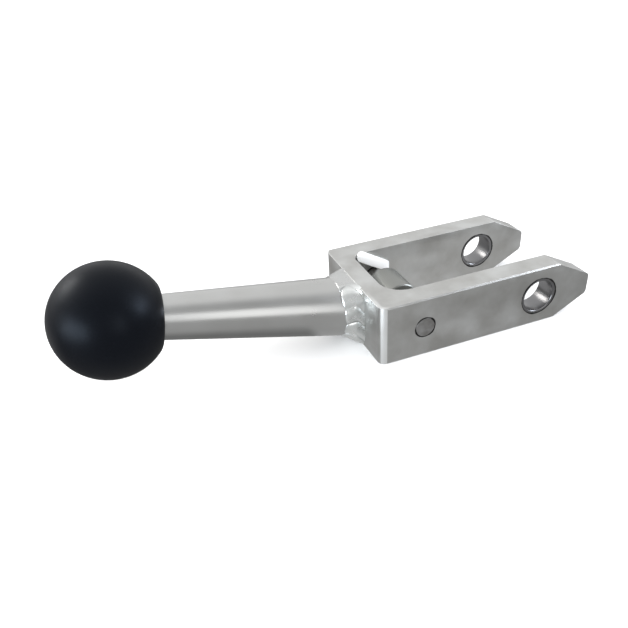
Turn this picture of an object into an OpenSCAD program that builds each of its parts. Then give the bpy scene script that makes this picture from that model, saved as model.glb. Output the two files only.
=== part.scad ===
// Forked hand lever: a two-armed fork with a bushed pivot, a roller on a cross pin, and a tapered bar
// with a ball knob. The origin is the middle of the pivot bore's axis. +X runs to the tips of the arms,
// +Y along the bore to the far arm, and +Z up. Sizes are in millimetres.

/* [Fork] */
// From the base's outer face to the pivot axis
pivot_to_base = 83.5; // [75:0.5:110]
// From the pivot axis to the tips of the arms
pivot_to_tip = 28.3; // [25:0.1:40]
// Width across both arms
fork_width = 64; // [54:0.5:80]
// Height of the fork
fork_height = 30; // [29:0.5:40]
// Thickness of each arm
arm_thickness = 11; // [8:0.1:13.5]
// Thickness of the base between the arms
base_thickness = 9.4; // [7:0.1:12]
// Radius of the slot's corner by the near arm
near_slot_radius = 11.2; // [4:0.1:14]
// Radius of the slot's corner by the far arm
far_slot_radius = 5.6; // [3:0.1:8]
// Radius of the base's two upright outer corners
base_corner_radius = 4; // [1:0.1:5]
// Length of the bevels that narrow each arm to its tip
tip_bevel_length = 19; // [14:0.1:24]
// Height of the flat nose left at each tip
tip_nose_height = 10.4; // [6:0.1:14]
// Radius of the two corners at each nose
tip_corner_radius = 2.5; // [0.5:0.1:4]
// Chamfer along the arms' outer long edges
edge_break = 0.6; // [0.2:0.1:1]

/* [Pivot bushes] */
// Bore of the bushes, for the machine's pivot pin
bush_bore = 16; // [12:0.1:17.5]
// Wall of the bushes
bush_wall = 1.5; // [1:0.1:2.5]
// Chamfer at each mouth of a bush
bush_chamfer = 0.4; // [0.1:0.1:0.6]

/* [Cross pin and roller] */
// Diameter of the cross pin
cross_pin_diameter = 10; // [8:0.1:12]
// From the base's outer face to the cross pin's axis
cross_pin_from_base = 22.25; // [21:0.25:30]
// Chamfer at each end of the cross pin
cross_pin_chamfer = 0.3; // [0.1:0.1:0.8]
// Outer diameter of the roller
roller_diameter = 19; // [17:0.1:22]
// Length of the roller
roller_length = 19.2; // [15:0.1:24]
// How far the roller's middle sits from the fork's middle, towards the far arm
roller_offset = 1.6; // [-2:0.1:3]
// Chamfer at each end of the roller
roller_chamfer = 0.6; // [0.2:0.1:1.2]
// Wall of the plain bearing pressed in the roller
roller_bush_wall = 1.5; // [1:0.1:2.2]
// Radial play between the cross pin and the plain bearing
running_clearance = 0.05; // [0.02:0.01:0.09]

/* [Keeper strip] */
// Width of the strip
keeper_width = 5.2; // [3:0.1:6]
// Thickness of the strip
keeper_thickness = 2; // [1:0.1:2.5]
// Slope of the strip, down towards the tips, in degrees
keeper_slope = 31; // [20:1:40]
// From the cross pin's axis back to the middle of the strip's rounded end
keeper_back = 13.6; // [10:0.1:14]
// From the cross pin's axis forward to the strip's cut end
keeper_front = 7.2; // [5:0.1:12]
// Depth of the flat on the cross pin that the strip sits on
keeper_seat = 0.2; // [0.1:0.1:0.6]
// Gap left between the strip's rounded end and the slot's corner
keeper_gap = 0.1; // [0.05:0.05:0.4]

/* [Lever bar] */
// From the base's outer face to the knob's middle, along the bar
knob_distance = 112.2; // [90:0.1:150]
// Diameter of the bar at the base
bar_foot_diameter = 29; // [22:0.1:29.5]
// Diameter of the bar where it meets the knob
bar_end_diameter = 20; // [16:0.1:21.5]
// Upward tilt of the bar, in degrees
bar_tilt = 11.8; // [0:0.1:14]
// Diameter of the threaded end that goes in the knob
stud_diameter = 12; // [8:0.1:14]
// Length of the threaded end
stud_length = 16; // [10:0.5:18]

/* [Weld] */
// From the base's outer face to the weld's edge on the bar
weld_length = 9.5; // [6:0.1:12]
// How far the weld spreads on the base beyond the bar, above and below it
weld_leg = 6; // [3:0.1:7]
// How far the weld spreads on the base beyond the bar's sides
weld_side = 0.7; // [0.3:0.1:3]
// How far the middle of the weld's foot sits below the bar's axis
weld_sag = 1.5; // [0:0.1:3]
// Height of the weld's edge above the bar's surface
weld_toe = 0.4; // [0.3:0.1:0.8]

/* [Knob] */
// Diameter of the ball
knob_diameter = 50; // [46:0.5:65]
// Diameter of the flat where the bar goes in
knob_flat_diameter = 28; // [22:0.5:30]
// Outer diameter of the threaded insert
insert_diameter = 17; // [16:0.1:18]
// Length of the threaded insert
insert_length = 18; // [18:0.5:22]
// Space left beyond the insert
insert_relief = 2; // [1:0.5:5]
// Radial play between the two threads, drawn plain
thread_clearance = 0.1; // [0.05:0.05:0.3]

/* [Hidden] */
$fn = 96;

// Room past a cut's faces, so that it goes right through
past = 1;
base_x = -pivot_to_base;
tip_x = pivot_to_tip;
fork_length = tip_x - base_x;
slot_x = base_x + base_thickness;
half_gap = fork_width / 2 - arm_thickness;
half_height = fork_height / 2;
arm_middle = fork_width / 2 - arm_thickness / 2;
bush_diameter = bush_bore + 2 * bush_wall;
// Small chamfer round the outside of each bush, which leaves a fine groove in the arm's face
bush_edge = bush_wall / 6;

cross_pin_x = base_x + cross_pin_from_base;
roller_bush_bore = cross_pin_diameter + 2 * running_clearance;
roller_bore = roller_bush_bore + 2 * roller_bush_wall;
// Chamfer at the mouths of the plain bearing
bearing_mouth = roller_bush_wall / 4;
// Height of the keeper strip's seat above the cross pin's axis, across the slope
seat_height = cross_pin_diameter / 2 - keeper_seat;

knob_flat_depth = sqrt(pow(knob_diameter / 2, 2) - pow(knob_flat_diameter / 2, 2));
bar_length = knob_distance - knob_flat_depth;
// The bar's foot and the weld start behind the base's face and are trimmed to it
foot_extra = bar_foot_diameter / 2;
// Thickness of the slices that the weld's shape is stretched between, and the sides of their circles
weld_slice = 0.02;
weld_fn = 36;

steel = "#b9bbba";
bright_steel = "#e9eaea";
dark_steel = "#8f9190";
bronze = "#a8874d";
black_plastic = "#17191d";
white_nylon = "#edeeed";

// Bar's radius at a distance along its axis from the base's face
function bar_radius(along) =
    (bar_foot_diameter - (bar_foot_diameter - bar_end_diameter) * along / bar_length) / 2;

// Places a shape drawn along +Z on the bar's axis, with its zero on the base's face
module along_bar() {
    translate([base_x, 0, 0])
        rotate([0, bar_tilt - 90, 0])
            children();
}

// Turns a shape drawn along +Z to lie along +Y
module along_y() {
    rotate([-90, 0, 0])
        children();
}

// Everything on the fork's side of the base's face
module fork_side_of_base() {
    reach = 2 * fork_width;
    translate([base_x, -reach / 2, -reach / 2])
        cube([reach, reach, reach]);
}

// Solid rod about +Z, centred, with a chamfer at each end
module chamfered_rod(diameter, length, chamfer) {
    radius = diameter / 2;
    half = length / 2;
    rotate_extrude()
        polygon([
            [0, -half], [radius - chamfer, -half], [radius, chamfer - half],
            [radius, half - chamfer], [radius - chamfer, half], [0, half]
        ]);
}

// Tube about +Z, centred, with chamfers at the mouths of its bore and round its ends
module chamfered_tube(outer, bore, length, mouth_chamfer, end_chamfer) {
    out = outer / 2;
    in = bore / 2;
    half = length / 2;
    rotate_extrude()
        polygon([
            [in + mouth_chamfer, -half], [out - end_chamfer, -half], [out, end_chamfer - half],
            [out, half - end_chamfer], [out - end_chamfer, half], [in + mouth_chamfer, half],
            [in, half - mouth_chamfer], [in, mouth_chamfer - half]
        ]);
}

// Fork

// The fork from above, before the slot is cut, with its two base corners rounded
module fork_plan() {
    r = base_corner_radius;
    translate([base_x + r, -fork_width / 2])
        square([fork_length - r, fork_width]);
    translate([base_x, r - fork_width / 2])
        square([fork_length, fork_width - 2 * r]);
    for (side = [-1, 1])
        translate([base_x + r, side * (fork_width / 2 - r)])
            circle(r = r);
}

// The slot between the arms from above, open at the tips
module slot_plan() {
    open_x = tip_x + past;
    near_r = near_slot_radius;
    far_r = far_slot_radius;
    translate([slot_x, near_r - half_gap])
        square([open_x - slot_x, 2 * half_gap - near_r - far_r]);
    translate([slot_x + near_r, -half_gap])
        square([open_x - slot_x - near_r, near_r + past]);
    translate([slot_x + near_r, near_r - half_gap])
        circle(r = near_r);
    translate([slot_x + far_r, half_gap - far_r - past])
        square([open_x - slot_x - far_r, far_r + past]);
    translate([slot_x + far_r, half_gap - far_r])
        circle(r = far_r);
}

// The fork from the side, with the bevels that narrow the tips and a rounded corner at each nose
module fork_side() {
    r = tip_corner_radius;
    bevel_x = tip_x - tip_bevel_length;
    bevel_angle = atan2(half_height - tip_nose_height / 2, tip_bevel_length);
    // Middle of a corner's circle, which touches both the nose and the bevel
    corner_x = tip_x - r;
    corner_z = tip_nose_height / 2 + r * (tan(bevel_angle) - 1 / cos(bevel_angle));
    touch_x = corner_x + r * sin(bevel_angle);
    touch_z = corner_z + r * cos(bevel_angle);
    polygon([
        [base_x, -half_height], [bevel_x, -half_height], [touch_x, -touch_z], [tip_x, -corner_z],
        [tip_x, corner_z], [touch_x, touch_z], [bevel_x, half_height], [base_x, half_height]
    ]);
    for (side = [-1, 1])
        translate([corner_x, side * corner_z])
            circle(r = r);
}

// The fork from its end, with its four long edges chamfered
module fork_end() {
    w = fork_width / 2;
    h = half_height;
    c = edge_break;
    polygon([
        [-h, c - w], [c - h, -w], [h - c, -w], [h, c - w],
        [h, w - c], [h - c, w], [c - h, w], [-h, w - c]
    ]);
}

module fork() {
    color(steel)
        difference() {
            intersection() {
                linear_extrude(height = fork_height, center = true)
                    fork_plan();
                rotate([90, 0, 0])
                    linear_extrude(height = fork_width + 2 * past, center = true)
                        fork_side();
                translate([base_x - past, 0, 0])
                    rotate([0, 90, 0])
                        linear_extrude(height = fork_length + 2 * past)
                            fork_end();
            }
            linear_extrude(height = fork_height + 2 * past, center = true)
                slot_plan();
            along_y()
                cylinder(h = fork_width + 2 * past, d = bush_diameter, center = true);
            translate([cross_pin_x, 0, 0])
                along_y()
                    cylinder(h = fork_width + 2 * past, d = cross_pin_diameter, center = true);
        }
}

// Pivot bushes, pressed in flush with the arms' faces

module arm_bush(side) {
    color(bright_steel)
        translate([0, side * arm_middle, 0])
            along_y()
                chamfered_tube(bush_diameter, bush_bore, arm_thickness, bush_chamfer, bush_edge);
}

module near_bush() {
    arm_bush(-1);
}

module far_bush() {
    arm_bush(1);
}

// Cross pin, with the flat that the keeper strip sits on

// Places a shape on the cross pin's axis, turned to the strip's slope
module on_keeper_slope() {
    translate([cross_pin_x, 0, 0])
        rotate([0, keeper_slope, 0])
            children();
}

module cross_pin() {
    color(dark_steel)
        difference() {
            translate([cross_pin_x, 0, 0])
                along_y()
                    chamfered_rod(cross_pin_diameter, fork_width, cross_pin_chamfer);
            on_keeper_slope()
                translate([-cross_pin_diameter, half_gap - keeper_thickness, seat_height])
                    cube([2 * cross_pin_diameter, keeper_thickness, cross_pin_diameter]);
        }
}

// Keeper strip: a flat strip against the far arm, lying across the cross pin's flat

// The room in the slot's far corner, seen from above, less the gap kept there
module keeper_room() {
    r = far_slot_radius;
    corner_x = slot_x + r;
    corner_y = half_gap - r;
    translate([corner_x, corner_y])
        circle(r = r - keeper_gap);
    translate([corner_x, -half_gap])
        square([fork_length, 2 * half_gap]);
    translate([slot_x + keeper_gap, -half_gap])
        square([fork_length, half_gap + corner_y]);
}

module keeper_strip() {
    room_height = 2 * fork_height;
    color(white_nylon)
        intersection() {
            on_keeper_slope()
                union() {
                    translate([-keeper_back, half_gap - keeper_thickness, seat_height])
                        cube([keeper_back + 2 * keeper_front, keeper_thickness, keeper_width]);
                    translate([-keeper_back, half_gap - keeper_thickness, seat_height + keeper_width / 2])
                        along_y()
                            cylinder(h = keeper_thickness, d = keeper_width);
                }
            linear_extrude(height = room_height, center = true)
                keeper_room();
            translate([base_x, -half_gap, -fork_height])
                cube([cross_pin_from_base + keeper_front, 2 * half_gap, room_height]);
        }
}

// Roller and its plain bearing

module on_roller_middle() {
    translate([cross_pin_x, roller_offset, 0])
        along_y()
            children();
}

module roller() {
    color(steel)
        on_roller_middle()
            chamfered_tube(roller_diameter, roller_bore, roller_length, 0, roller_chamfer);
}

module roller_bush() {
    color(bronze)
        on_roller_middle()
            chamfered_tube(roller_bush_bore + 2 * roller_bush_wall, roller_bush_bore, roller_length,
                bearing_mouth, 0);
}

// Tapered bar with its threaded end, and the weld round its foot

// The bar's taper, carried on past its foot
module bar_taper() {
    translate([0, 0, -foot_extra])
        cylinder(h = bar_length + foot_extra, r1 = bar_radius(-foot_extra), r2 = bar_end_diameter / 2);
}

module lever_bar() {
    color(steel)
        difference() {
            along_bar()
                union() {
                    bar_taper();
                    translate([0, 0, bar_length - past])
                        cylinder(h = stud_length + past, d = stud_diameter);
                }
            fork_side_of_base();
        }
}

// Stands a flat shape upright across the X axis, at a distance out from the base's face
module across_base(out) {
    translate([base_x - out, 0, 0])
        rotate([0, -90, 0])
            linear_extrude(height = weld_slice)
                children();
}

// The weld's outline on the base's face, narrowed to the bar's sides
module weld_foot() {
    intersection() {
        translate([-weld_sag, 0])
            circle(r = bar_radius(0) + weld_leg, $fn = weld_fn);
        square([fork_height, 2 * (bar_radius(0) + weld_side)], center = true);
    }
}

// The weld's outline at its edge on the bar
module weld_edge() {
    translate([weld_length * tan(bar_tilt), 0])
        circle(r = bar_radius(weld_length) / cos(bar_tilt) + weld_toe, $fn = weld_fn);
}

module weld_bead() {
    color(bright_steel)
        difference() {
            hull() {
                across_base(0)
                    weld_foot();
                across_base(weld_length - weld_slice)
                    weld_edge();
            }
            along_bar()
                bar_taper();
        }
}

// Ball knob and its threaded insert

module knob() {
    cavity = insert_length + insert_relief;
    color(black_plastic)
        along_bar()
            difference() {
                translate([0, 0, knob_distance])
                    sphere(d = knob_diameter);
                translate([0, 0, bar_length - knob_diameter])
                    cylinder(h = knob_diameter, d = 2 * knob_diameter);
                translate([0, 0, bar_length - past])
                    cylinder(h = cavity + past, d = insert_diameter);
            }
}

module knob_insert() {
    color(bronze)
        along_bar()
            translate([0, 0, bar_length])
                difference() {
                    cylinder(h = insert_length, d = insert_diameter);
                    translate([0, 0, -past])
                        cylinder(h = insert_length + 2 * past, d = stud_diameter + 2 * thread_clearance);
                }
}

fork();
near_bush();
far_bush();
cross_pin();
keeper_strip();
roller();
roller_bush();
lever_bar();
weld_bead();
knob();
knob_insert();
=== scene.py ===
"""Looks for the forked hand lever: soft edges, steel finishes, the rippled weld, the knob and the stage."""

import math

import bmesh
import bpy
from bpy.props import FloatProperty, FloatVectorProperty, IntProperty, PointerProperty
from mathutils import Matrix, Vector


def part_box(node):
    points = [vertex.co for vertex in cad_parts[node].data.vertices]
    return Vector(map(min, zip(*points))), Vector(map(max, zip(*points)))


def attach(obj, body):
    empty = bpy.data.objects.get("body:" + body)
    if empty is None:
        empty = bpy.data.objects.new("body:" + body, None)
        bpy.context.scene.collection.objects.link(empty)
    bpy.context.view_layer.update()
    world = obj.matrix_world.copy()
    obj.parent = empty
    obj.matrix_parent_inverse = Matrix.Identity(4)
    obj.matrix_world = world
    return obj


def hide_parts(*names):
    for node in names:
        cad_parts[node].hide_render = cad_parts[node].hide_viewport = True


bl_info = {
    "name": "Forked Hand Lever",
    "version": (1, 0, 0),
    "blender": (4, 5, 0),
    "location": "View3D > Sidebar > Lever",
    "description": "Builds the looks of a forked steel hand lever with a roller and a ball knob",
    "category": "Object",
}

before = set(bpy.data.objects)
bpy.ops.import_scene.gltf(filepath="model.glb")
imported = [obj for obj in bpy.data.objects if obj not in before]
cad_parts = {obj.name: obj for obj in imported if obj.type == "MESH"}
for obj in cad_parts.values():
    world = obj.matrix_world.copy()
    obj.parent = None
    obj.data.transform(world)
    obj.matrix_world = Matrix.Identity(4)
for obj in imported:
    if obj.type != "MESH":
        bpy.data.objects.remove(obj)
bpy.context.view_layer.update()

MM = 0.001
FORK_LOW, FORK_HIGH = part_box("fork")
PIN_LOW, PIN_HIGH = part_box("cross_pin")
KNOB_LOW, KNOB_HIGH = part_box("knob")
BASE_X = FORK_LOW.x
PIN_X = (PIN_LOW.x + PIN_HIGH.x) / 2
BUSH_RADIUS = (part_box("near_bush")[1].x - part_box("near_bush")[0].x) / 2
PIN_RADIUS = (PIN_HIGH.x - PIN_LOW.x) / 2
KNOB_RADIUS = (KNOB_HIGH.y - KNOB_LOW.y) / 2
KNOB_CENTRE = Vector((KNOB_LOW.x + KNOB_RADIUS, 0, KNOB_HIGH.z - KNOB_RADIUS))
BAR_TILT = math.atan2(KNOB_CENTRE.z, BASE_X - KNOB_CENTRE.x)
KNOB_DISTANCE = math.hypot(KNOB_CENTRE.z, BASE_X - KNOB_CENTRE.x)
# How near a face or a rim a point lies when it counts as part of it
ON_FACE = 0.1 * MM
NEARBY = 1 * MM
# Radius of the base's two upright corners, and the bar's sizes
BASE_CORNER = 4 * MM
BAR_FOOT_RADIUS = 14.5 * MM
BAR_END_RADIUS = 10 * MM
STUD_RADIUS = 6 * MM
STUD_LENGTH = 16 * MM


# Sizes, colours and stage settings


class LeverSizes(bpy.types.PropertyGroup):
    """Sizes of the details that are added to the plain solids"""

    edge_round: FloatProperty(
        name="Edge round", description="Rounding along the fork's sharp edges",
        default=0.8 * MM, min=0.1 * MM, max=2 * MM, unit="LENGTH", precision=5,
    )
    side_round: FloatProperty(
        name="Side edge round", description="Rounding along the edges of the fork's two outer sides",
        default=0.36 * MM, min=0.05 * MM, max=2 * MM, unit="LENGTH", precision=5,
    )
    base_round: FloatProperty(
        name="Base edge round", description="Wider rounding along the base's outer edges",
        default=1.8 * MM, min=0.1 * MM, max=2 * MM, unit="LENGTH", precision=5,
    )
    # Width of the painted highlight along the base's rim
    rim_highlight_width: FloatProperty(
        name="Rim highlight", description="Width of the painted highlight along the base's rim by the near corner",
        default=2.2 * MM, min=0.5 * MM, max=4 * MM, unit="LENGTH", precision=5,
    )
    rim_round: FloatProperty(
        name="Rim round", description="Rounding at the mouths of the fork's holes",
        default=0.35 * MM, min=0.05 * MM, max=1 * MM, unit="LENGTH", precision=5,
    )
    # Width of the painted shadow in the seams round the bushes and the cross pin
    seam_shadow_width: FloatProperty(
        name="Seam shadow width", description="Width of the painted seam shadow round the bushes and the cross pin",
        default=0.45 * MM, min=0.1 * MM, max=1 * MM, unit="LENGTH", precision=5,
    )
    small_round: FloatProperty(
        name="Small round", description="Rounding on the roller, pin, bushes and strip",
        default=0.15 * MM, min=0.05 * MM, max=0.5 * MM, unit="LENGTH", precision=5,
    )
    knob_flat_radius: FloatProperty(
        name="Knob flat radius", description="Radius of the knob's flat where the bar goes in",
        default=14 * MM, min=11 * MM, max=15 * MM, unit="LENGTH", precision=5,
    )
    knob_mouth_radius: FloatProperty(
        name="Knob mouth radius", description="Radius of the hole that holds the knob's insert",
        default=8.5 * MM, min=6 * MM, max=9 * MM, unit="LENGTH", precision=5,
    )
    knob_mouth_depth: FloatProperty(
        name="Knob mouth depth", description="Depth of the hole that holds the knob's insert",
        default=20 * MM, min=10 * MM, max=25 * MM, unit="LENGTH", precision=5,
    )
    weld_ripples: IntProperty(
        name="Weld ripples", description="Number of ripples round the bar's foot",
        default=12, min=6, max=60,
    )
    ripple_height: FloatProperty(
        name="Ripple height", description="How far a ripple's middle stands above its edges",
        default=1.15 * MM, min=0, max=2 * MM, unit="LENGTH", precision=5,
    )
    ripple_bow: FloatProperty(
        name="Ripple bow", description="How far a ripple bows along the weld, in ripples",
        default=0.35, min=0, max=1,
    )
    weld_voxel: FloatProperty(
        name="Weld voxel", description="Grain of the weld's surface",
        default=0.34 * MM, min=0.2 * MM, max=1 * MM, unit="LENGTH", precision=5,
    )
    weld_fullness: FloatProperty(
        name="Weld fullness", description="How far the weld's skin stands off the plain bead",
        default=0.15 * MM, min=0, max=0.5 * MM, unit="LENGTH", precision=5,
    )
    weld_root: FloatProperty(
        name="Weld root", description="How far the weld is carried on inside the base",
        default=1.8 * MM, min=0, max=5 * MM, unit="LENGTH", precision=5,
    )
    weld_seed: IntProperty(
        name="Weld seed", description="Seed of the ripples' small differences",
        default=7, min=0, max=1000,
    )


class LeverColours(bpy.types.PropertyGroup):
    """Colours of the lever's materials"""

    satin_steel: FloatVectorProperty(
        name="Satin steel", description="The fork's flat faces",
        default=(0.49, 0.495, 0.488), min=0, max=1, subtype="COLOR",
    )
    # Brighter steel on the fork's edges and upright corners: a painted highlight
    edge_highlight_steel: FloatVectorProperty(
        name="Edge steel", description="The fork's edges, brighter as a painted highlight",
        default=(0.76, 0.765, 0.76), min=0, max=1, subtype="COLOR",
    )
    bar_steel: FloatVectorProperty(
        name="Bar steel", description="The turned bar",
        default=(0.50, 0.505, 0.50), min=0, max=1, subtype="COLOR",
    )
    ground_steel: FloatVectorProperty(
        name="Ground steel", description="The pivot bushes",
        default=(0.22, 0.22, 0.225), min=0, max=1, subtype="COLOR",
    )
    white_nylon: FloatVectorProperty(
        name="White nylon", description="The keeper strip",
        default=(0.93, 0.94, 0.94), min=0, max=1, subtype="COLOR",
    )
    pin_steel: FloatVectorProperty(
        name="Pin steel", description="The cross pin",
        default=(0.32, 0.32, 0.32), min=0, max=1, subtype="COLOR",
    )
    roller_steel: FloatVectorProperty(
        name="Roller steel", description="The roller",
        default=(0.28, 0.285, 0.272), min=0, max=1, subtype="COLOR",
    )
    weld_metal: FloatVectorProperty(
        name="Weld metal", description="The weld round the bar's foot",
        default=(0.92, 0.945, 0.935), min=0, max=1, subtype="COLOR",
    )
    knob_black: FloatVectorProperty(
        name="Knob black", description="The moulded ball",
        default=(0.0015, 0.0018, 0.0030), min=0, max=1, subtype="COLOR",
    )
    bronze: FloatVectorProperty(
        name="Bronze", description="The roller's plain bearing",
        default=(0.45, 0.30, 0.14), min=0, max=1, subtype="COLOR",
    )
    brass: FloatVectorProperty(
        name="Brass", description="The knob's threaded insert",
        default=(0.62, 0.45, 0.18), min=0, max=1, subtype="COLOR",
    )
    floor: FloatVectorProperty(
        name="Floor", description="The pale floor",
        default=(0.90, 0.90, 0.90), min=0, max=1, subtype="COLOR",
    )


class LeverStage(bpy.types.PropertyGroup):
    """Camera and light"""

    aim: FloatVectorProperty(
        name="Aim", description="The point the camera looks at",
        default=(-98.5 * MM, 13.1 * MM, -8.5 * MM), subtype="XYZ", unit="LENGTH", precision=5,
    )
    distance: FloatProperty(
        name="Distance", description="From the camera to that point",
        default=324.7 * MM, min=100 * MM, unit="LENGTH", precision=5,
    )
    azimuth: FloatProperty(
        name="Azimuth", description="The camera's turn round the lever, from straight in front",
        default=math.radians(-19.0), subtype="ANGLE",
    )
    elevation: FloatProperty(
        name="Elevation", description="The camera's height above the horizon",
        default=math.radians(32.7), subtype="ANGLE",
    )
    roll: FloatProperty(
        name="Roll", description="The camera's turn about its own line of sight",
        default=math.radians(-3.8), subtype="ANGLE",
    )
    lens: FloatProperty(
        name="Lens", description="Focal length, in millimetres, on a 36 mm wide sensor",
        default=37.31, min=10, max=200,
    )
    floor_radius: FloatProperty(
        name="Floor radius", description="Radius of the round floor",
        default=6.0, min=1.0, max=20.0, unit="LENGTH",
    )
    sky: FloatProperty(
        name="Sky", description="Brightness of the even light from all round",
        default=1.6, min=0, max=3,
    )
    sky_front: FloatProperty(
        name="Front sky", description="Brightness of the sky in front, as the metal mirrors it",
        default=0.6, min=0, max=3,
    )
    sky_back: FloatProperty(
        name="Back sky", description="Brightness of the sky behind, as the metal mirrors it",
        default=1.3, min=0, max=3,
    )
    floor_card: FloatProperty(
        name="Floor card", description="Brightness of the floor, as the metal mirrors it",
        default=0.5, min=0, max=3,
    )


# Shader node groups, shared by the materials


def new_group(name, inputs, outputs):
    """A shader node group with the named sockets, and its input and output nodes."""
    group = bpy.data.node_groups.new(name, "ShaderNodeTree")
    for label, kind, default in inputs:
        socket = group.interface.new_socket(label, in_out="INPUT", socket_type=kind)
        if default is not None:
            socket.default_value = default
    for label, kind in outputs:
        group.interface.new_socket(label, in_out="OUTPUT", socket_type=kind)
    return group, group.nodes.new("NodeGroupInput"), group.nodes.new("NodeGroupOutput")


def noise_node(tree, scale, detail, roughness=0.5):
    node = tree.nodes.new("ShaderNodeTexNoise")
    node.inputs["Scale"].default_value = scale
    node.inputs["Detail"].default_value = detail
    node.inputs["Roughness"].default_value = roughness
    return node


def ramp_node(tree, low, high, to_low, to_high):
    node = tree.nodes.new("ShaderNodeMapRange")
    node.inputs["From Min"].default_value = low
    node.inputs["From Max"].default_value = high
    node.inputs["To Min"].default_value = to_low
    node.inputs["To Max"].default_value = to_high
    return node


def worked_out(tree, operation, *values):
    """The result of a Math node. Its inputs are numbers or other nodes' outputs."""
    node = tree.nodes.new("ShaderNodeMath")
    node.operation = operation
    for socket, value in zip(node.inputs, values):
        if isinstance(value, (int, float)):
            socket.default_value = value
        else:
            tree.links.new(value, socket)
    return node.outputs[0]


def product(tree, first, *others):
    """Several values multiplied together."""
    for other in others:
        first = worked_out(tree, "MULTIPLY", first, other)
    return first


def root_of_squares(tree, first, second):
    squares = worked_out(tree, "ADD", product(tree, first, first), product(tree, second, second))
    return worked_out(tree, "SQRT", squares)


def split_vector(tree, vector):
    """A vector's X, Y and Z."""
    split = tree.nodes.new("ShaderNodeSeparateXYZ")
    tree.links.new(vector, split.inputs[0])
    return split.outputs["X"], split.outputs["Y"], split.outputs["Z"]


def object_place(tree):
    """The Object coordinates."""
    return tree.nodes.new("ShaderNodeTexCoord").outputs["Object"]


def distance_from_y(tree, vector):
    """How far a point is from the line where both X and Z are zero."""
    flatten = tree.nodes.new("ShaderNodeVectorMath")
    flatten.operation = "MULTIPLY"
    flatten.inputs[1].default_value = (1, 0, 1)
    length = tree.nodes.new("ShaderNodeVectorMath")
    length.operation = "LENGTH"
    tree.links.new(vector, flatten.inputs[0])
    tree.links.new(flatten.outputs[0], length.inputs[0])
    return length.outputs["Value"]


def faded(tree, value, low, high, to_low, to_high):
    """The result of a Map Range node."""
    node = ramp_node(tree, low, high, to_low, to_high)
    tree.links.new(value, node.inputs["Value"])
    return node.outputs["Result"]


def build_grain_group():
    """Fine lines drawn out along one direction, with soft stains under them."""
    group, entry, out = new_group(
        "Drawn grain",
        [("Vector", "NodeSocketVector", None), ("Stretch", "NodeSocketVector", (60, 3000, 3000)),
         ("Stain scale", "NodeSocketFloat", 45.0)],
        [("Height", "NodeSocketFloat"), ("Stain", "NodeSocketFloat")],
    )
    stretch = group.nodes.new("ShaderNodeVectorMath")
    stretch.operation = "MULTIPLY"
    lines = noise_node(group, 1.0, 4.0, 0.6)
    stains = noise_node(group, 45.0, 3.0, 0.55)
    contrast = ramp_node(group, 0.3, 0.7, 0.0, 1.0)
    link = group.links.new
    link(entry.outputs["Vector"], stretch.inputs[0])
    link(entry.outputs["Stretch"], stretch.inputs[1])
    link(stretch.outputs[0], lines.inputs["Vector"])
    link(entry.outputs["Vector"], stains.inputs["Vector"])
    link(entry.outputs["Stain scale"], stains.inputs["Scale"])
    link(stains.outputs["Fac"], contrast.inputs["Value"])
    link(lines.outputs["Fac"], out.inputs["Height"])
    link(contrast.outputs["Result"], out.inputs["Stain"])
    return group


def build_ring_group():
    """Turning marks: fine rings about the line where both X and Z are zero."""
    group, entry, out = new_group(
        "Turned rings",
        [("Vector", "NodeSocketVector", None), ("Rings per metre", "NodeSocketFloat", 4000.0)],
        [("Height", "NodeSocketFloat")],
    )
    join = group.nodes.new("ShaderNodeCombineXYZ")
    rings = noise_node(group, 4000.0, 2.0, 0.6)
    link = group.links.new
    link(distance_from_y(group, entry.outputs["Vector"]), join.inputs["X"])
    link(split_vector(group, entry.outputs["Vector"])[1], join.inputs["Y"])
    link(join.outputs[0], rings.inputs["Vector"])
    link(entry.outputs["Rings per metre"], rings.inputs["Scale"])
    link(rings.outputs["Fac"], out.inputs["Height"])
    return group


def build_grit_group():
    """A fine grit in the surface and a sparse speckle of small bright dots."""
    group, entry, out = new_group(
        "Fine grit",
        [("Vector", "NodeSocketVector", None), ("Grit scale", "NodeSocketFloat", 3000.0),
         ("Patch scale", "NodeSocketFloat", 60.0)],
        [("Height", "NodeSocketFloat"), ("Speckle", "NodeSocketFloat"), ("Patch", "NodeSocketFloat")],
    )
    grit = noise_node(group, 3000.0, 3.0, 0.6)
    patch = noise_node(group, 60.0, 2.0, 0.5)
    speckle = ramp_node(group, 0.66, 0.74, 0.0, 1.0)
    spread = ramp_node(group, 0.35, 0.65, 0.0, 1.0)
    link = group.links.new
    link(entry.outputs["Vector"], grit.inputs["Vector"])
    link(entry.outputs["Vector"], patch.inputs["Vector"])
    link(entry.outputs["Grit scale"], grit.inputs["Scale"])
    link(entry.outputs["Patch scale"], patch.inputs["Scale"])
    link(grit.outputs["Fac"], speckle.inputs["Value"])
    link(patch.outputs["Fac"], spread.inputs["Value"])
    link(grit.outputs["Fac"], out.inputs["Height"])
    link(speckle.outputs["Result"], out.inputs["Speckle"])
    link(spread.outputs["Result"], out.inputs["Patch"])
    return group


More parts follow.
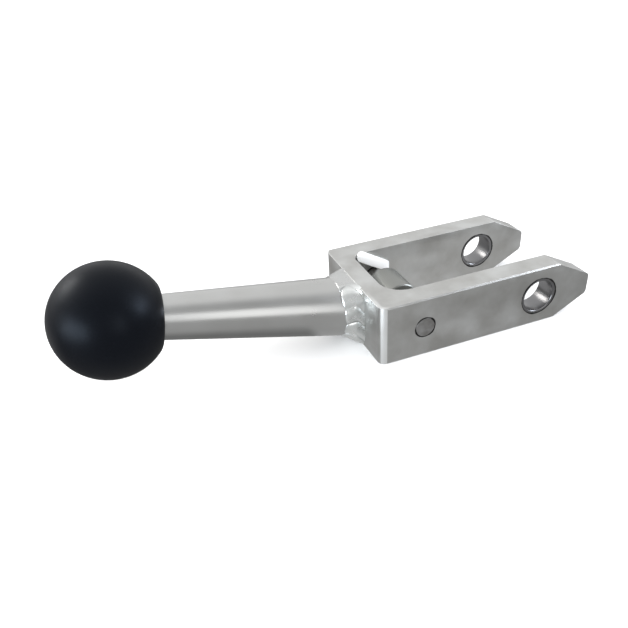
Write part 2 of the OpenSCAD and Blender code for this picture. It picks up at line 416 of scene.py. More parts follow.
def build_seam_shadow_group():
    """A painted shadow: a dark ring of uneven width, where two parts meet round a hole along Y. Zero away
    from the ring.
    """
    group, entry, out = new_group(
        "Painted seam shadow",
        [("Vector", "NodeSocketVector", None), ("Centre", "NodeSocketVector", (0, 0, 0)),
         ("Radius", "NodeSocketFloat", 0.005), ("Width", "NodeSocketFloat", 0.0004),
         ("Beyond", "NodeSocketFloat", -1.0)],
        [("Mask", "NodeSocketFloat")],
    )
    vector, link = entry.outputs["Vector"], group.links.new
    away = group.nodes.new("ShaderNodeVectorMath")
    away.operation = "SUBTRACT"
    link(vector, away.inputs[0])
    link(entry.outputs["Centre"], away.inputs[1])
    wander = noise_node(group, 260.0, 2.0)
    link(vector, wander.inputs["Vector"])
    width = product(group, faded(group, wander.outputs["Fac"], 0.35, 0.65, 0.55, 1.5), entry.outputs["Width"])
    offset = worked_out(group, "SUBTRACT", distance_from_y(group, away.outputs[0]), entry.outputs["Radius"])
    share = worked_out(group, "DIVIDE", worked_out(group, "ABSOLUTE", offset), width)
    side = worked_out(group, "ABSOLUTE", split_vector(group, vector)[1])
    past_end = worked_out(group, "GREATER_THAN", side, entry.outputs["Beyond"])
    link(product(group, faded(group, share, 0.35, 1.0, 1.0, 0.0), past_end), out.inputs["Mask"])
    return group


GROUPS = {}


def group_named(name):
    """The node group of that name, built on first use."""
    builders = {
        "grain": build_grain_group, "rings": build_ring_group,
        "grit": build_grit_group, "seam": build_seam_shadow_group,
    }
    if name not in GROUPS:
        GROUPS[name] = builders[name]()
    return GROUPS[name]


# Materials


def principled(tree):
    return tree.nodes["Principled BSDF"]


def start_material(name, centre=(0, 0, 0), turn=(0, 0, 0)):
    """A material with its shader, and Object coordinates centred and turned for its pattern."""
    material = bpy.data.materials.new(name)
    material.use_nodes = True
    tree = material.node_tree
    mapping = tree.nodes.new("ShaderNodeMapping")
    mapping.vector_type = "TEXTURE"
    mapping.inputs["Location"].default_value = centre
    mapping.inputs["Rotation"].default_value = turn
    tree.links.new(object_place(tree), mapping.inputs["Vector"])
    return material, tree, principled(tree), mapping.outputs["Vector"]


def place_group(tree, name, vector, **values):
    """Puts a shared group in a material, fed with the pattern's coordinates."""
    node = tree.nodes.new("ShaderNodeGroup")
    node.node_tree = group_named(name)
    tree.links.new(vector, node.inputs["Vector"])
    for label, value in values.items():
        node.inputs[label.replace("_", " ")].default_value = value
    return node


def blend_colours(tree, factor, first, second, shader):
    """Base colour that goes from the first colour to the second with the factor."""
    mix = tree.nodes.new("ShaderNodeMix")
    mix.data_type = "RGBA"
    mix.inputs["A"].default_value = (*first, 1)
    mix.inputs["B"].default_value = (*second, 1)
    tree.links.new(factor, mix.inputs["Factor"])
    tree.links.new(mix.outputs["Result"], shader.inputs["Base Color"])


def paint_over(tree, mask, colour):
    """Puts a colour over the base colour where the mask is one."""
    base = principled(tree).inputs["Base Color"]
    mix = tree.nodes.new("ShaderNodeMix")
    mix.data_type = "RGBA"
    mix.inputs["B"].default_value = (*colour, 1)
    tree.links.new(mask, mix.inputs["Factor"])
    tree.links.new(base.links[0].from_socket, mix.inputs["A"])
    tree.links.new(mix.outputs["Result"], base)


def paint_seam_shadow(tree, centre, radius, width, beyond=-1.0):
    """Paints shadow into the base colour in a thin ring where two parts meet, beyond a distance from the
    middle.
    """
    seam = place_group(
        tree, "seam", object_place(tree), Centre=centre, Radius=radius, Width=width, Beyond=beyond,
    )
    # Near-black painted shade in the gap between the two parts
    paint_over(tree, seam.outputs["Mask"], (0.015, 0.015, 0.015))


def paint_rim_highlight(tree, colour, width):
    """Paints a highlight on the fork's level faces along the base's rim, from the weld round the near corner.
    """
    x, y, z = split_vector(tree, object_place(tree))
    in_x = worked_out(tree, "MAXIMUM", worked_out(tree, "SUBTRACT", BASE_X + BASE_CORNER, x), 0)
    in_y = worked_out(tree, "MAXIMUM", worked_out(tree, "SUBTRACT", FORK_LOW.y + BASE_CORNER, y), 0)
    from_corner = root_of_squares(tree, in_x, in_y)
    rim = faded(tree, from_corner, BASE_CORNER - width, BASE_CORNER - width / 2, 0.0, 0.7)
    near = faded(tree, y, -24 * MM, -14 * MM, 1.0, 0.0)
    on_base = faded(tree, x, BASE_X + 2 * MM, BASE_X + 6 * MM, 1.0, 0.0)
    level = worked_out(tree, "GREATER_THAN", worked_out(tree, "ABSOLUTE", z), FORK_HIGH.z - 0.3 * MM)
    paint_over(tree, product(tree, rim, near, on_base, level), colour)


def vary_roughness(tree, factor, low, high, shader):
    spread = ramp_node(tree, 0.0, 1.0, low, high)
    tree.links.new(factor, spread.inputs["Value"])
    tree.links.new(spread.outputs["Result"], shader.inputs["Roughness"])


def raise_bump(tree, height, strength, distance, shader):
    bump = tree.nodes.new("ShaderNodeBump")
    bump.inputs["Strength"].default_value = strength
    bump.inputs["Distance"].default_value = distance
    tree.links.new(height, bump.inputs["Height"])
    tree.links.new(bump.outputs["Normal"], shader.inputs["Normal"])


def shaded(colour, factor):
    return tuple(min(1.0, c * factor) for c in colour)


def grained_steel(
    name, colour, rough, stretch, strength, turn=(0, 0, 0), centre=(0, 0, 0), stain=45.0, uneven=0.07,
):
    """Steel with fine lines along one direction and soft stains, slightly warm where they are dark."""
    material, tree, shader, vector = start_material(name, centre, turn)
    grain = place_group(tree, "grain", vector, Stretch=stretch, Stain_scale=stain)
    shader.inputs["Metallic"].default_value = 1.0
    dark, light = shaded(colour, 1 - uneven), shaded(colour, 1 + uneven)
    dark = (dark[0], dark[1] * (1 - 0.1 * uneven), dark[2] * (1 - 0.25 * uneven))
    blend_colours(tree, grain.outputs["Stain"], dark, light, shader)
    vary_roughness(tree, grain.outputs["Stain"], rough[0], rough[1], shader)
    raise_bump(tree, grain.outputs["Height"], strength, 0.02 * MM, shader)
    return material


def turned_metal(name, colour, rough, strength, centre):
    """Metal with fine turning rings about a line along Y."""
    material, tree, shader, vector = start_material(name, centre)
    rings = place_group(tree, "rings", vector)
    shader.inputs["Metallic"].default_value = 1.0
    blend_colours(tree, rings.outputs["Height"], shaded(colour, 0.9), shaded(colour, 1.1), shader)
    vary_roughness(tree, rings.outputs["Height"], rough[0], rough[1], shader)
    raise_bump(tree, rings.outputs["Height"], strength, 0.01 * MM, shader)
    return material


def satin_steel(colours):
    return grained_steel(
        "Satin steel", colours.satin_steel, (0.36, 0.48), (120, 2600, 2600), 0.25, stain=70.0, uneven=0.14,
    )


# Brighter and rougher steel for the fork's rounded edges: a painted highlight
def edge_highlight_steel(colours):
    return grained_steel("Painted highlight edge steel", colours.edge_highlight_steel, (0.52, 0.62), (300, 1500, 1500), 0.2)


def bar_steel(colours):
    return grained_steel(
        "Drawn bar steel", colours.bar_steel, (0.26, 0.36), (14, 1500, 1500), 0.3,
        turn=(0, BAR_TILT, 0), centre=(BASE_X, 0, 0), stain=28.0,
    )


def weld_metal(colours):
    material, tree, shader, vector = start_material("Weld metal")
    grit = place_group(tree, "grit", vector, Grit_scale=900.0, Patch_scale=220.0)
    shader.inputs["Metallic"].default_value = 1.0
    blend_colours(tree, grit.outputs["Patch"], shaded(colours.weld_metal, 0.85), colours.weld_metal, shader)
    # Ground level with the fork's upper face above the bar, where it blends into the plain steel
    y, z = split_vector(tree, vector)[1:]
    ground = faded(tree, y, -10 * MM, -5 * MM, 0.0, 0.9)
    upper = faded(tree, z, 8 * MM, 12 * MM, 0.0, 1.0)
    paint_over(tree, product(tree, ground, upper), colours.bar_steel)
    vary_roughness(tree, grit.outputs["Patch"], 0.36, 0.24, shader)
    raise_bump(tree, grit.outputs["Height"], 0.03, 0.1 * MM, shader)
    return material


def moulded_black(colours):
    material, tree, shader, vector = start_material("Moulded black")
    grit = place_group(tree, "grit", vector, Grit_scale=2600.0, Patch_scale=55.0)
    shader.inputs["Specular IOR Level"].default_value = 0.13
    shader.inputs["Specular Tint"].default_value = (0.72, 0.84, 1.0, 1)
    blend_colours(tree, grit.outputs["Speckle"], colours.knob_black, shaded(colours.knob_black, 3.0), shader)
    vary_roughness(tree, grit.outputs["Patch"], 0.34, 0.44, shader)
    raise_bump(tree, grit.outputs["Height"], 0.3, 0.04 * MM, shader)
    return material


# Meshes


def new_object(name, data):
    thing = bpy.data.objects.new(name, data)
    bpy.context.collection.objects.link(thing)
    return thing


def shade_smooth(mesh, angle=35.0):
    """Smooth shading, with edges sharper than the angle kept crisp."""
    mesh.shade_smooth()
    mesh.set_sharp_from_angle(angle=math.radians(angle))


def merged_copy(node, name):
    """A closed, tidy copy of a node's mesh as a new object, with flat faces made whole."""
    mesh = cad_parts[node].data.copy()
    mesh.name = name
    mesh.materials.clear()
    bm = bmesh.new()
    bm.from_mesh(mesh)
    bmesh.ops.remove_doubles(bm, verts=bm.verts, dist=0.002 * MM)
    bmesh.ops.dissolve_limit(bm, angle_limit=math.radians(0.4), verts=bm.verts, edges=bm.edges)
    bm.to_mesh(mesh)
    bm.free()
    for layer in list(mesh.attributes):
        if layer.name == "custom_normal":
            mesh.attributes.remove(layer)
    return new_object(name, mesh)


def weigh_edges(piece, weight_of):
    """Gives each edge that turns by over 25 degrees the bevel weight that the rule returns for it."""
    bm = bmesh.new()
    bm.from_mesh(piece.data)
    layer = bm.edges.layers.float.new("bevel_weight_edge")
    for edge in bm.edges:
        if len(edge.link_faces) == 2 and edge.calc_face_angle(0) > math.radians(25):
            edge[layer] = weight_of(edge)
    bm.to_mesh(piece.data)
    bm.free()


def bevel(piece, width, segments=3, weighted=False, material=-1):
    """Rounds the edges that carry a weight, or else every sharp edge."""
    modifier = piece.modifiers.new("Rounded edges", "BEVEL")
    modifier.width = width
    modifier.segments = segments
    modifier.limit_method = "WEIGHT" if weighted else "ANGLE"
    modifier.angle_limit = math.radians(30)
    modifier.use_clamp_overlap = True
    modifier.harden_normals = False
    modifier.material = material


def applied(piece):
    """Replaces a piece's mesh by what its modifiers make of it, and removes them."""
    graph = bpy.context.evaluated_depsgraph_get()
    mesh = bpy.data.meshes.new_from_object(piece.evaluated_get(graph))
    piece.modifiers.clear()
    piece.data = mesh
    mesh.name = piece.name
    return mesh


def finish_piece(piece, body, nodes, angle=35.0):
    """Bakes a piece's modifiers, shades it and ties it to the body and nodes that it stands for."""
    shade_smooth(applied(piece), angle)
    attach(piece, body)
    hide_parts(*nodes)


def rounded_node(node, name, material, body, width):
    """A node's own shape with its edges softened."""
    piece = merged_copy(node, name)
    piece.data.materials.append(material)
    bevel(piece, width, segments=2)
    finish_piece(piece, body, [node])
    return piece


def bar_matrix():
    """Carries a shape drawn along +Z from zero onto the bar's axis."""
    return Matrix.Translation((BASE_X, 0, 0)) @ Matrix.Rotation(BAR_TILT - math.pi / 2, 4, "Y")


def revolved(name, profile, steps):
    """A closed shape turned about +Z. The profile's (radius, height) points start and end on the axis."""
    bm = bmesh.new()
    rings = []
    for radius, height in profile:
        if radius < 1e-7:
            rings.append([bm.verts.new((0, 0, height))])
            continue
        turns = [2 * math.pi * i / steps for i in range(steps)]
        rings.append([bm.verts.new((radius * math.cos(t), radius * math.sin(t), height)) for t in turns])
    for low, high in zip(rings, rings[1:]):
        for i in range(steps):
            j = (i + 1) % steps
            corners = [low[i % len(low)], low[j % len(low)], high[j % len(high)], high[i % len(high)]]
            bm.faces.new(list(dict.fromkeys(corners)))
    bmesh.ops.recalc_face_normals(bm, faces=bm.faces)
    mesh = bpy.data.meshes.new(name)
    bm.to_mesh(mesh)
    bm.free()
    return new_object(name, mesh)


# Operators, one for each piece or group of like pieces


class LEVER_OT_fork(bpy.types.Operator):
    """Rounds the fork's edges and brightens them with a painted highlight"""

    bl_idname = "lever.fork"
    bl_label = "Fork"

    def execute(self, context):
        sizes, colours = context.scene.lever_sizes, context.scene.lever_colours
        piece = merged_copy("fork", "fork_body")
        for material in (satin_steel(colours), edge_highlight_steel(colours)):
            # Painted seam shadow round the bushes and the cross pin
            for centre, radius in (((0, 0, 0), BUSH_RADIUS), ((PIN_X, 0, 0), PIN_RADIUS)):
                paint_seam_shadow(material.node_tree, centre, radius, sizes.seam_shadow_width)
            piece.data.materials.append(material)
        # Painted highlight along the base's rim by the near corner
        paint_rim_highlight(piece.data.materials[0].node_tree, colours.edge_highlight_steel, sizes.rim_highlight_width)

        def width_of(edge):
            middle = (edge.verts[0].co + edge.verts[1].co) / 2
            from_pin = math.hypot(middle.x - PIN_X, middle.z)
            from_pivot = math.hypot(middle.x, middle.z)
            if from_pin < PIN_RADIUS + NEARBY or from_pivot < BUSH_RADIUS + NEARBY:
                return sizes.rim_round
            if middle.x < BASE_X + ON_FACE:
                return sizes.base_round
            on_side = abs(abs(middle.y) - FORK_HIGH.y) < NEARBY
            return sizes.side_round if on_side else sizes.edge_round

        # The upright corners by the base take the brighter edge steel, a painted highlight
        for face in piece.data.polygons:
            on_corner = abs(face.normal.x) > 0.2 and abs(face.normal.y) > 0.55
            if on_corner and face.center.x < BASE_X + BASE_CORNER + NEARBY:
                face.material_index = 1
        weigh_edges(piece, lambda edge: width_of(edge) / sizes.base_round)
        # The rounded edges take the brighter edge steel too, a painted highlight along them
        bevel(piece, sizes.base_round, weighted=True, material=1)
        finish_piece(piece, "lever", ["fork"])
        return {"FINISHED"}


class LEVER_OT_bushes(bpy.types.Operator):
    """Softens the two pivot bushes and gives them a ground finish"""

    bl_idname = "lever.bushes"
    bl_label = "Pivot bushes"

    def execute(self, context):
        sizes, colours = context.scene.lever_sizes, context.scene.lever_colours
        material = turned_metal("Ground bush steel", colours.ground_steel, (0.24, 0.34), 0.25, (0, 0, 0))
        # Painted seam shadow where the bush meets the fork
        paint_seam_shadow(material.node_tree, (0, 0, 0), BUSH_RADIUS, sizes.seam_shadow_width)
        for node in ("near_bush", "far_bush"):
            rounded_node(node, node + "_ring", material, "lever", sizes.small_round)
        return {"FINISHED"}


class LEVER_OT_cross_pin(bpy.types.Operator):
    """Softens the cross pin's ends"""

    bl_idname = "lever.cross_pin"
    bl_label = "Cross pin"

    def execute(self, context):
        sizes, colours = context.scene.lever_sizes, context.scene.lever_colours
        material = grained_steel(
            "Pin steel", colours.pin_steel, (0.30, 0.42), (1500, 900, 1500), 0.25,
            centre=(PIN_X, 0, 0), stain=260.0, uneven=0.22,
        )
        # Painted seam shadow only at the two ends, because the pin's whole side lies at the seam's radius
        paint_seam_shadow(material.node_tree, (PIN_X, 0, 0), PIN_RADIUS, sizes.seam_shadow_width, PIN_HIGH.y - NEARBY)
        rounded_node("cross_pin", "cross_pin_rod", material, "lever", sizes.small_round)
        return {"FINISHED"}


class LEVER_OT_keeper_strip(bpy.types.Operator):
    """Softens the white strip that lies across the cross pin"""

    bl_idname = "lever.keeper_strip"
    bl_label = "Keeper strip"

    def execute(self, context):
        sizes, colours = context.scene.lever_sizes, context.scene.lever_colours
        material, tree, shader, vector = start_material("White nylon")
        grit = place_group(tree, "grit", vector, Grit_scale=1800.0, Patch_scale=150.0)
        dull = shaded(colours.white_nylon, 0.96)
        blend_colours(tree, grit.outputs["Patch"], dull, colours.white_nylon, shader)
        vary_roughness(tree, grit.outputs["Patch"], 0.32, 0.42, shader)
        raise_bump(tree, grit.outputs["Height"], 0.15, 0.03 * MM, shader)
        rounded_node("keeper_strip", "keeper_plate", material, "lever", sizes.small_round)
        return {"FINISHED"}


class LEVER_OT_roller(bpy.types.Operator):
    """Softens the roller and its plain bearing"""

    bl_idname = "lever.roller"
    bl_label = "Roller"

    def execute(self, context):
        sizes, colours = context.scene.lever_sizes, context.scene.lever_colours
        centre = (PIN_X, 0, 0)
        steel = turned_metal("Roller steel", colours.roller_steel, (0.38, 0.46), 0.2, centre)
        bronze = turned_metal("Bearing bronze", colours.bronze, (0.3, 0.4), 0.25, centre)
        rounded_node("roller", "roller_sleeve", steel, "roller", sizes.small_round)
        rounded_node("roller_bush", "roller_bearing", bronze, "roller", sizes.small_round)
        return {"FINISHED"}


class LEVER_OT_bar(bpy.types.Operator):
    """Draws the tapered bar finely, with a softened shoulder and its threaded end"""

    bl_idname = "lever.bar"
    bl_label = "Lever bar"

    def execute(self, context):
        sizes, colours = context.scene.lever_sizes, context.scene.lever_colours
        shoulder = KNOB_DISTANCE - math.sqrt(KNOB_RADIUS**2 - sizes.knob_flat_radius**2)
        stud_end = shoulder + STUD_LENGTH
        # The foot is buried in the base, so that its tilted end reaches the base's face all round
        buried = 3.2 * MM
        soft = 0.3 * MM
        pitch, thread_depth = 1.75 * MM, 0.9 * MM
        sections = 12
        profile = [(0, -buried), (BAR_FOOT_RADIUS, -buried)]
        profile += [
            (BAR_FOOT_RADIUS + (BAR_END_RADIUS - BAR_FOOT_RADIUS) * along / shoulder, along)
            for along in [shoulder * i / sections for i in range(sections)]
        ]
        profile += [
            (BAR_END_RADIUS, shoulder - soft), (BAR_END_RADIUS - soft, shoulder), (STUD_RADIUS, shoulder),
        ]
        crest = shoulder + pitch
        while crest < stud_end - pitch:
            profile += [(STUD_RADIUS, crest), (STUD_RADIUS - thread_depth, crest + pitch / 2)]
            crest += pitch
        profile += [(STUD_RADIUS - thread_depth, stud_end), (0, stud_end)]
        piece = revolved("bar_body", profile, 128)
        piece.data.transform(bar_matrix())
        piece.data.materials.append(bar_steel(colours))
        finish_piece(piece, "lever", ["lever_bar"], angle=20.0)
        return {"FINISHED"}


def weld_tree():
    """Geometry nodes that give a plain weld bead its skin of bowed ripples round the bar's foot."""
    tree = bpy.data.node_groups.new("Rippled weld", "GeometryNodeTree")
    face = tree.interface
    face.new_socket("Geometry", in_out="INPUT", socket_type="NodeSocketGeometry")
    for label in ("Voxel", "Height", "Bow", "Fullness", "Floor", "Base face", "Length", "Tilt"):
        face.new_socket(label, in_out="INPUT", socket_type="NodeSocketFloat")
    for label in ("Ripples", "Seed"):
        face.new_socket(label, in_out="INPUT", socket_type="NodeSocketInt")
    face.new_socket("Material", in_out="INPUT", socket_type="NodeSocketMaterial")
    face.new_socket("Geometry", in_out="OUTPUT", socket_type="NodeSocketGeometry")
    add, link = tree.nodes.new, tree.links.new
    entry, out = add("NodeGroupInput"), add("NodeGroupOutput")

    def maths(operation, *values):
        return worked_out(tree, operation, *values)

    def moved(geometry, socket, value):
        node = add("GeometryNodeSetPosition")
        link(geometry, node.inputs["Geometry"])
        link(value, node.inputs[socket])
        return node.outputs["Geometry"]

    def noise(vector, scale, detail):
        node = add("ShaderNodeTexNoise")
        node.inputs["Scale"].default_value = scale
        node.inputs["Detail"].default_value = detail
        link(vector, node.inputs["Vector"])
        return maths("SUBTRACT", node.outputs["Fac"], 0.5)

    # An even skin over the plain bead, filled through the bar and smoothed at its corners
    filled = add("GeometryNodeConvexHull")
    link(entry.outputs["Geometry"], filled.inputs["Geometry"])
    solid = add("GeometryNodeMeshToVolume")
    solid.resolution_mode = "VOXEL_SIZE"
    skin = add("GeometryNodeVolumeToMesh")
    skin.resolution_mode = "VOXEL_SIZE"
    link(filled.outputs[0], solid.inputs["Mesh"])
    link(entry.outputs["Voxel"], solid.inputs["Voxel Size"])
    link(entry.outputs["Voxel"], skin.inputs["Voxel Size"])
    link(solid.outputs["Volume"], skin.inputs["Volume"])
    smooth = add("GeometryNodeBlurAttribute")
    smooth.data_type = "FLOAT_VECTOR"
    smooth.inputs["Iterations"].default_value = 4
    raw = add("GeometryNodeInputPosition")
    link(raw.outputs[0], smooth.inputs["Value"])
    even = moved(skin.outputs["Mesh"], "Position", smooth.outputs["Value"])

    # Where a point lies round the bar and along the weld
    where = add("GeometryNodeInputPosition")
    x, y, z = split_vector(tree, where.outputs[0])
    out_from_base = maths("SUBTRACT", entry.outputs["Base face"], x)
    bar_height = maths("MULTIPLY", out_from_base, maths("TANGENT", entry.outputs["Tilt"]))
    angle = maths("ARCTAN2", y, maths("SUBTRACT", z, bar_height))
    along = maths("DIVIDE", out_from_base, entry.outputs["Length"])
    seeded = add("ShaderNodeVectorMath")
    seeded.operation = "ADD"
    shift = add("ShaderNodeCombineXYZ")
    link(entry.outputs["Seed"], shift.inputs["X"])
    link(where.outputs[0], seeded.inputs[0])
    link(shift.outputs[0], seeded.inputs[1])

    # Ripples with round middles and sharp edges, bowed towards the way the weld was laid
    turn = maths("MULTIPLY", maths("DIVIDE", angle, 2 * math.pi), entry.outputs["Ripples"])
    middle = maths("SUBTRACT", along, 0.5)
    bow = maths("MULTIPLY", maths("MULTIPLY", middle, middle), maths("MULTIPLY", entry.outputs["Bow"], 4))
    wander_reach, lobe_level, lump_height = 0.9, 0.75, 0.45 * MM
    lowest_share, share_spread = 0.5, 0.7
    wander = maths("MULTIPLY", noise(seeded.outputs[0], 90.0, 1.0), wander_reach)
    phase = maths("ADD", maths("ADD", turn, bow), wander)
    within = maths("SUBTRACT", maths("MULTIPLY", maths("FRACT", phase), 2), 1)
    lobe = maths("SQRT", maths("MAXIMUM", maths("SUBTRACT", 1, maths("MULTIPLY", within, within)), 0))
    pick = add("ShaderNodeTexWhiteNoise")
    pick.noise_dimensions = "1D"
    link(maths("ADD", maths("FLOOR", phase), entry.outputs["Seed"]), pick.inputs["W"])
    each = maths("ADD", maths("MULTIPLY", pick.outputs["Value"], share_spread), lowest_share)
    ripple = product(tree, maths("SUBTRACT", lobe, lobe_level), each, entry.outputs["Height"])
    lumps = maths("MULTIPLY", noise(seeded.outputs[0], 260.0, 1.0), lump_height)
    normal = add("GeometryNodeInputNormal")
    push = add("ShaderNodeVectorMath")
    push.operation = "SCALE"
    link(normal.outputs[0], push.inputs[0])
    # No ripples above the bar, where the weld is ground flat
    flat_top = ramp_node(tree, math.radians(16), math.radians(34), 0.0, 1.0)
    flat_top.interpolation_type = "SMOOTHSTEP"
    link(maths("ABSOLUTE", angle), flat_top.inputs["Value"])
    shape = maths("MULTIPLY", maths("ADD", ripple, lumps), flat_top.outputs["Result"])
    link(maths("ADD", shape, entry.outputs["Fullness"]), push.inputs["Scale"])
    rippled = moved(even, "Offset", push.outputs[0])

    # A flat underside, no lower than the fork
    final = add("GeometryNodeInputPosition")
    merge = add("ShaderNodeCombineXYZ")
    x, y, z = split_vector(tree, final.outputs[0])
    link(x, merge.inputs["X"])
    link(y, merge.inputs["Y"])
    link(maths("MAXIMUM", z, entry.outputs["Floor"]), merge.inputs["Z"])
    level = moved(rippled, "Position", merge.outputs[0])

    whole = add("GeometryNodeRealizeInstances")
    paint = add("GeometryNodeSetMaterial")
    link(level, whole.inputs["Geometry"])
    link(whole.outputs["Geometry"], paint.inputs["Geometry"])
    link(entry.outputs["Material"], paint.inputs["Material"])
    link(paint.outputs["Geometry"], out.inputs["Geometry"])
    return tree


class LEVER_OT_weld(bpy.types.Operator):
    """Lays the rippled weld round the bar's foot"""

    bl_idname = "lever.weld"
    bl_label = "Weld"

    def execute(self, context):
        sizes, colours = context.scene.lever_sizes, context.scene.lever_colours
        piece = merged_copy("weld_bead", "weld_ripples")
        for point in piece.data.vertices:
            if point.co.x > BASE_X - ON_FACE:
                point.co.x += sizes.weld_root
        modifier = piece.modifiers.new("Rippled weld", "NODES")
        tree = weld_tree()
        modifier.node_group = tree
        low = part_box("weld_bead")[0]
        values = {
            "Voxel": sizes.weld_voxel, "Height": sizes.ripple_height, "Bow": sizes.ripple_bow,
            "Fullness": sizes.weld_fullness, "Floor": FORK_LOW.z, "Base face": BASE_X,
            "Length": BASE_X - low.x, "Tilt": BAR_TILT, "Ripples": sizes.weld_ripples,
            "Seed": sizes.weld_seed, "Material": weld_metal(colours),
        }
        for item in tree.interface.items_tree:
            if item.in_out == "INPUT" and item.name in values:
                modifier[item.identifier] = values[item.name]
        finish_piece(piece, "lever", ["weld_bead"], angle=60.0)
        return {"FINISHED"}


class LEVER_OT_knob(bpy.types.Operator):
    """Draws the ball knob with its flat and mouth, and gives its insert a finish"""

    bl_idname = "lever.knob"
    bl_label = "Ball knob"

    def execute(self, context):
        sizes, colours = context.scene.lever_sizes, context.scene.lever_colours
        radius, flat, mouth = KNOB_RADIUS, sizes.knob_flat_radius, sizes.knob_mouth_radius
        flat_turn = math.asin(flat / radius)
        soft = math.radians(2.0)
        rim = 0.35 * MM
        rows = 72
        flat_at = -radius * math.cos(flat_turn)
        profile = [(0, flat_at + sizes.knob_mouth_depth), (mouth, flat_at + sizes.knob_mouth_depth)]
        profile += [(mouth, flat_at), (flat - rim, flat_at)]
        turns = [flat_turn + soft + (math.pi - flat_turn - soft) * i / rows for i in range(rows)]
        profile += [(radius * math.sin(t), -radius * math.cos(t)) for t in turns]
        profile += [(0, radius)]
        piece = revolved("knob_ball", profile, 144)
        piece.data.transform(bar_matrix() @ Matrix.Translation((0, 0, KNOB_DISTANCE)))
        piece.data.materials.append(moulded_black(colours))
        finish_piece(piece, "lever", ["knob"], angle=40.0)
        brass = turned_metal("Insert brass", colours.brass, (0.25, 0.35), 0.3, (0, 0, 0))
        rounded_node("knob_insert", "knob_thread_insert", brass, "lever", sizes.small_round)
        return {"FINISHED"}


# Stage


def direction(turn, rise):
    """Points away from the lever. A turn of zero is in front, and grows towards +X."""
    return Vector((math.sin(turn) * math.cos(rise), -math.cos(turn) * math.cos(rise), math.sin(rise)))


def softbox(name, azimuth, elevation, distance, size, brightness, colour=(1, 1, 1)):
    """A rectangular lamp that faces the middle of the base's face, from that way and distance."""
    data = bpy.data.lights.new(name, "AREA")
    data.shape = "RECTANGLE"
    data.size, data.size_y = size
    data.energy = brightness * math.pi * size[0] * size[1]
    data.color = colour
    lamp = new_object(name, data)
    away = direction(math.radians(azimuth), math.radians(elevation))
    lamp.location = Vector((BASE_X, 0, 0)) + away * distance
    lamp.rotation_euler = away.to_track_quat("Z", "Y").to_euler()
    lamp.visible_camera = False


def mirrored_floor(tree, card):
    """How bright the metal mirrors the floor: dark under the bar and far off, bright between the arms."""
    x, y = split_vector(tree, object_place(tree))[:2]
    shade_end, end_slope = BASE_X - 25 * MM, 4
    side = worked_out(tree, "ABSOLUTE", y)
    past_end = worked_out(tree, "MAXIMUM", worked_out(tree, "SUBTRACT", x, shade_end), 0)
    away = worked_out(tree, "ADD", side, product(tree, past_end, end_slope))
    # A painted shadow of the bar in the floor that the metal mirrors
    under_bar = faded(tree, away, 12 * MM, 34 * MM, 0.5, 1.0)
    towards_tips = faded(tree, x, -85 * MM, 45 * MM, 1.0, 0.74)
    far = faded(tree, root_of_squares(tree, x, y), 0.25, 0.6, 1.0, 0.6)
    between = faded(tree, side, 20 * MM, 28 * MM, 0.65, 0.0)
    inside = product(tree, between, worked_out(tree, "GREATER_THAN", x, BASE_X))
    return product(tree, under_bar, towards_tips, far, worked_out(tree, "ADD", inside, 1), card)


def seen_or_mirrored(tree, seen, mirrored, output):
    """One shader for what the camera sees straight, and another for what polished metal mirrors."""
    path = tree.nodes.new("ShaderNodeLightPath")
    mix = tree.nodes.new("ShaderNodeMixShader")
    tree.links.new(path.outputs["Is Glossy Ray"], mix.inputs[0])
    tree.links.new(seen.outputs[0], mix.inputs[1])
    tree.links.new(mirrored.outputs[0], mix.inputs[2])
    tree.links.new(mix.outputs[0], tree.nodes[output].inputs["Surface"])


def pale_floor(radius, height, colour, card):
    """A round floor. Its own look is pale and matt, and the metal mirrors it as a card of its own."""
    piece = revolved("floor", [(0, height), (radius * 0.5, height), (radius, height)], 64)
    if piece.data.polygons[0].normal.z < 0:
        piece.data.flip_normals()
    material = bpy.data.materials.new("Pale floor")
    material.use_nodes = True
    tree = material.node_tree
    shader = principled(tree)
    shader.inputs["Base Color"].default_value = (*colour, 1)
    shader.inputs["Roughness"].default_value = 0.9
    shader.inputs["Specular IOR Level"].default_value = 0.1
    mirrored = tree.nodes.new("ShaderNodeEmission")
    tree.links.new(mirrored_floor(tree, card), mirrored.inputs["Strength"])
    seen_or_mirrored(tree, shader, mirrored, "Material Output")
    piece.data.materials.append(material)


def even_sky(even, front, back):
    """A white sky that lights evenly, and that the metal mirrors as darker in front than behind."""
    world = bpy.data.worlds.new("Even sky")
    bpy.context.scene.world = world
    world.use_nodes = True
    tree = world.node_tree
    plain = tree.nodes["Background"]
    plain.inputs["Color"].default_value = (1, 1, 1, 1)
    plain.inputs["Strength"].default_value = even
    mirrored = tree.nodes.new("ShaderNodeBackground")
    view = tree.nodes.new("ShaderNodeTexCoord").outputs["Generated"]
    slope = ramp_node(tree, -0.45, 0.1, front, back)
    slope.interpolation_type = "SMOOTHSTEP"
    tree.links.new(split_vector(tree, view)[1], slope.inputs["Value"])
    tree.links.new(slope.outputs["Result"], mirrored.inputs["Strength"])
    seen_or_mirrored(tree, plain, mirrored, "World Output")


def add_camera(stage):
    data = bpy.data.cameras.new("camera")
    data.lens = stage.lens
    data.sensor_width = 36
    data.clip_start = 10 * MM
    data.clip_end = 50
    camera = new_object("camera", data)
    away = direction(stage.azimuth, stage.elevation)
    level = away.to_track_quat("Z", "Y").to_matrix().to_4x4()
    place = Matrix.Translation(Vector(stage.aim) + away * stage.distance)
    camera.matrix_world = place @ level @ Matrix.Rotation(stage.roll, 4, "Z")
    bpy.context.scene.camera = camera


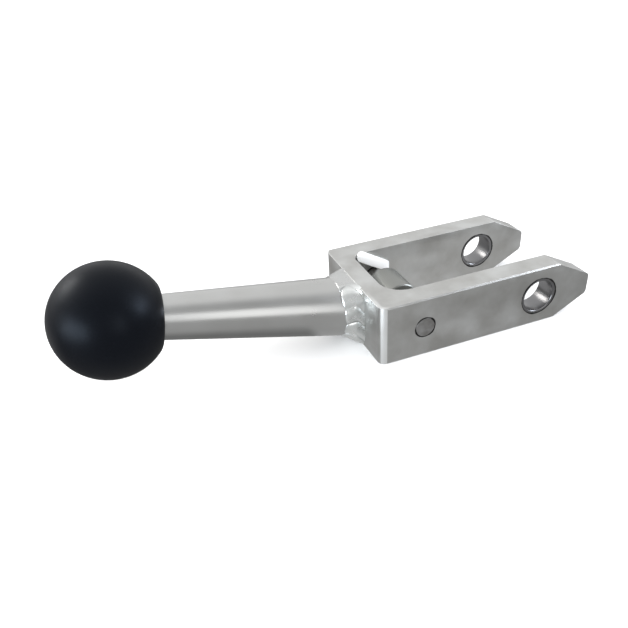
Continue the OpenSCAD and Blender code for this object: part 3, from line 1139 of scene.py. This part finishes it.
class LEVER_OT_stage(bpy.types.Operator):
    """Sets out the floor, the lamps and the camera"""

    bl_idname = "lever.stage"
    bl_label = "Stage"

    def execute(self, context):
        stage, colours = context.scene.lever_stage, context.scene.lever_colours
        context.scene.view_settings.view_transform = "Standard"
        pale_floor(stage.floor_radius, FORK_LOW.z, colours.floor, stage.floor_card)
        even_sky(stage.sky, stage.sky_front, stage.sky_back)
        softbox("front lamp", 13, 20, 1.3, (0.5, 0.7), 1.6)
        softbox("left lamp", -68, 1, 1.1, (0.85, 0.8), 8.0, (0.86, 0.93, 1.0))
        softbox("back left lamp", -135, 30, 1.2, (0.5, 0.4), 7.0, (1.0, 0.97, 0.93))
        softbox("right lamp", 74, 26, 1.2, (0.5, 0.45), 10.0, (0.84, 0.90, 1.0))
        add_camera(stage)
        return {"FINISHED"}


class LEVER_PT_panel(bpy.types.Panel):
    """The lever's pieces and settings"""

    bl_idname = "LEVER_PT_panel"
    bl_label = "Forked hand lever"
    bl_space_type = "VIEW_3D"
    bl_region_type = "UI"
    bl_category = "Lever"

    def draw(self, context):
        for operator in OPERATORS:
            self.layout.operator(operator.bl_idname)
        for group in (context.scene.lever_sizes, context.scene.lever_colours, context.scene.lever_stage):
            box = self.layout.box()
            for name in group.__annotations__:
                box.prop(group, name)


OPERATORS = (
    LEVER_OT_fork, LEVER_OT_bushes, LEVER_OT_cross_pin, LEVER_OT_keeper_strip, LEVER_OT_roller,
    LEVER_OT_bar, LEVER_OT_weld, LEVER_OT_knob, LEVER_OT_stage,
)
SETTINGS = (LeverSizes, LeverColours, LeverStage)


def register():
    for item in (*SETTINGS, *OPERATORS, LEVER_PT_panel):
        bpy.utils.register_class(item)
    bpy.types.Scene.lever_sizes = PointerProperty(type=LeverSizes)
    bpy.types.Scene.lever_colours = PointerProperty(type=LeverColours)
    bpy.types.Scene.lever_stage = PointerProperty(type=LeverStage)


def unregister():
    del bpy.types.Scene.lever_sizes
    del bpy.types.Scene.lever_colours
    del bpy.types.Scene.lever_stage
    for item in reversed((*SETTINGS, *OPERATORS, LEVER_PT_panel)):
        bpy.utils.unregister_class(item)


def main():
    register()
    for operator in OPERATORS:
        group, name = operator.bl_idname.split(".")
        getattr(getattr(bpy.ops, group), name)()


if __name__ == "__main__":
    main()
